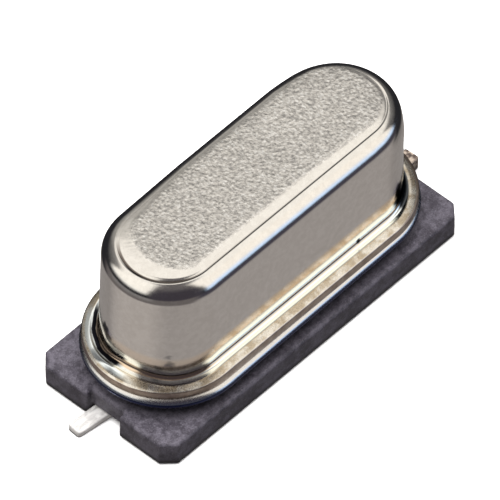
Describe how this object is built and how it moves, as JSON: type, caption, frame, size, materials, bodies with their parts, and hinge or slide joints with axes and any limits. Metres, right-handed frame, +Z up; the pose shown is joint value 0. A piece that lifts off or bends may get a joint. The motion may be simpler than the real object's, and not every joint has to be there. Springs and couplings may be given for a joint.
{
  "type": "surface-mount quartz crystal unit",
  "caption": "Low-profile quartz crystal unit in a drawn metal can with stadium ends, welded to a header on a dark insulator plate, with flattened leads bent out beneath it.",
  "frame": {"origin": "centre of the plane that the feet of the leads rest on", "axes": "+X along the long side towards the right lead, +Y across the width, +Z up through the top of the can"},
  "size_m": [0.013, 0.0046, 0.0052],
  "materials": {
    "insulator_base": "moulded, fine matte grain",
    "header": "nickel plated, satin",
    "glass_seal": "dark green-grey sealing glass",
    "can": "nickel silver, satin with a finely speckled top",
    "lead": "bright tin plating",
    "clip": "nickel plated strip",
    "quartz": "lapped quartz",
    "electrode": "evaporated silver film",
    "adhesive": "silver-filled adhesive"
  },
  "bodies": {
    "root": {"insulator_base": "insulator_base", "header": "header", "glass_seal_left": "glass_seal", "glass_seal_right": "glass_seal", "can": "can", "lead_left": "lead", "lead_right": "lead", "clip_left": "clip", "clip_right": "clip", "quartz_blank": "quartz", "electrode_top": "electrode", "electrode_bottom": "electrode", "adhesive_left": "adhesive", "adhesive_right": "adhesive"}
  },
  "joints": []
}
